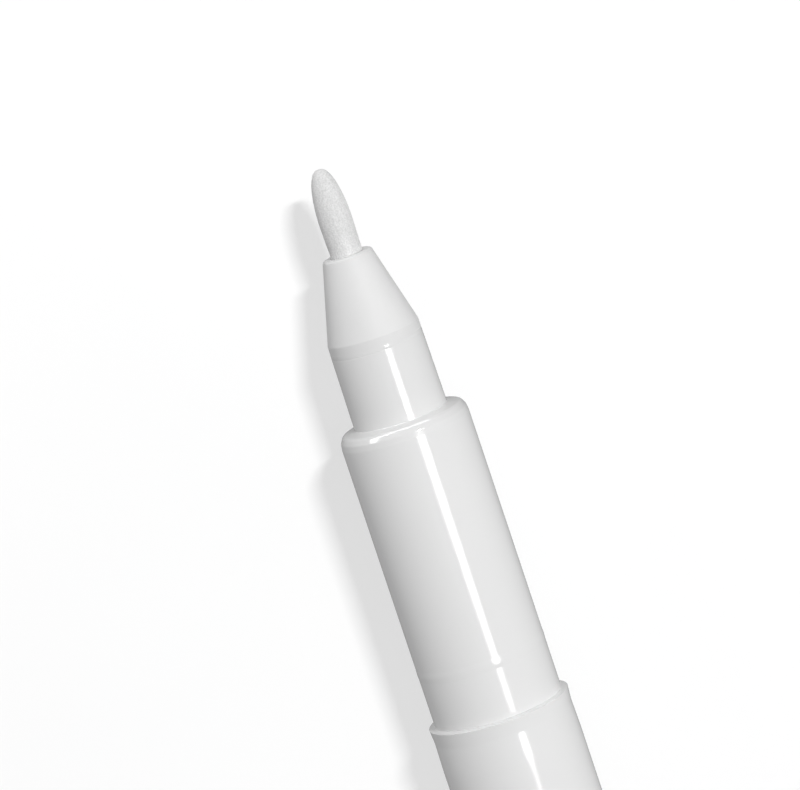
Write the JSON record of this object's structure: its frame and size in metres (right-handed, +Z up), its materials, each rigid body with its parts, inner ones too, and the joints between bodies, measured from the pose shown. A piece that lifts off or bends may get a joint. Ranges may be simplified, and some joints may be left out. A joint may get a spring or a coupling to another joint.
{
  "type": "counterfeit detector pen",
  "caption": "Fibre-tip banknote testing pen with a bullet nib, nose cone, stepped front section, plain barrel and a clip cap posted on its tail.",
  "frame": {"origin": "on the pen's axis, in the plane of the barrel's front rim, where the cap's mouth stops when the pen is capped", "axes": "the pen lies on its side: X along its axis with the nib towards -X and the cap towards +X, Z up, and the clip on the -Y side, touching the surface that the pen lies on"},
  "size_m": [0.1742, 0.015, 0.0126],
  "materials": {
    "nib_fibre": "bonded polyester fibre, ground to a bullet point, damp near its base",
    "satin_white": "fine satin moulded polypropylene",
    "gloss_white": "smooth glossy moulded polypropylene",
    "liner_white": "soft, slightly cloudy polyethylene",
    "core_fibre": "loose polyester fibre, wet with pale iodine ink",
    "film": "thin clear film"
  },
  "bodies": {
    "pen": {"nib": "nib_fibre", "nose_cone": "satin_white", "front_section": "gloss_white", "barrel": "gloss_white", "reservoir_core": "core_fibre", "reservoir_wrap": "film", "rear_plug": "gloss_white"},
    "cap": {"cap_shell": "gloss_white", "inner_cap": "liner_white", "cap_crown": "gloss_white"},
    "clip": {"pocket_clip": "gloss_white"}
  },
  "joints": [
    {"name": "cap_pull", "type": "slide", "parent": "pen", "child": "cap", "axis": [1, 0, 0], "range_m": [0, 0.03]},
    {"name": "clip_flex", "type": "hinge", "parent": "cap", "child": "clip", "pos_m": [0.1184, -0.00653, -0.00389], "axis": [0, -0.5113, 0.8594], "range_deg": [0, 5], "stiffness_Nm_per_rad": 0.2}
  ]
}
